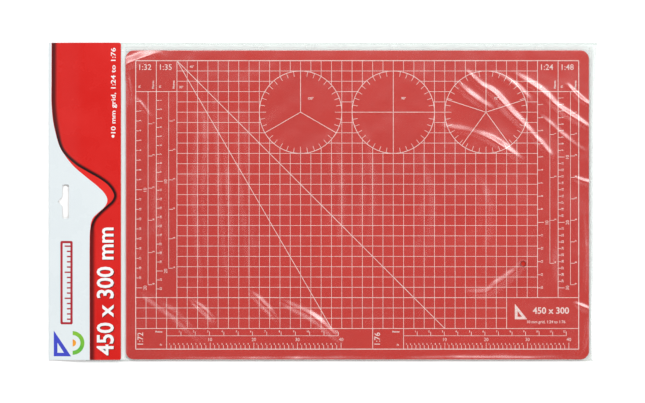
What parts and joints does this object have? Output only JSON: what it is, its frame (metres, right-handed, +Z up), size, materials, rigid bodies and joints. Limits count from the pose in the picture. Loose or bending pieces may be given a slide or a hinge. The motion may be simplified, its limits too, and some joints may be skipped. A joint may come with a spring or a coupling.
{
  "type": "packed cutting mat",
  "caption": "A3 self-healing cutting mat in a clear film bag under a folded hanging header card; the bag and header slide off and the card's front opens at its fold.",
  "frame": {"origin": "middle of the pack's footprint, on the surface it lies on", "axes": "+X from the header card towards the closed end of the bag, +Y across the sheet towards the edge with the protractor circles, +Z up out of the printed face"},
  "size_m": [0.532, 0.309, 0.005],
  "materials": {
    "mat_surface": "satin",
    "mat_core": "matte",
    "mat_underside": "satin",
    "print_ink": "satin",
    "clear_film": "gloss",
    "welded_film": "gloss",
    "header_card": "gloss",
    "header_print": "gloss",
    "tape": "satin"
  },
  "bodies": {
    "mat": {"mat_top_ply": "mat_surface", "mat_core_ply": "mat_core", "mat_bottom_ply": "mat_underside"},
    "bag": {"bag_front_film": "clear_film", "bag_back_film": "clear_film", "bag_upper_side": "clear_film", "bag_lower_side": "clear_film", "bag_end_slope": "clear_film", "bag_end_fold": "clear_film", "bag_upper_weld": "welded_film", "bag_lower_weld": "welded_film"},
    "header": {"header_back_panel": "header_card", "header_crease": "header_card", "header_back_tape": "tape"},
    "header_flap": {"header_front_panel": "header_card", "header_front_tape": "tape"}
  },
  "joints": [
    {"name": "bag_pull", "type": "slide", "parent": "mat", "child": "bag", "axis": [1, 0, 0], "range_m": [0, 0.5]},
    {"name": "header_pull", "type": "slide", "parent": "mat", "child": "header", "axis": [-1, 0, 0], "range_m": [0, 0.08]},
    {"name": "header_fold", "type": "hinge", "parent": "header", "child": "header_flap", "pos_m": [-0.265, 0, 0.002], "axis": [0, -1, 0], "range_deg": [0, 165]}
  ]
}
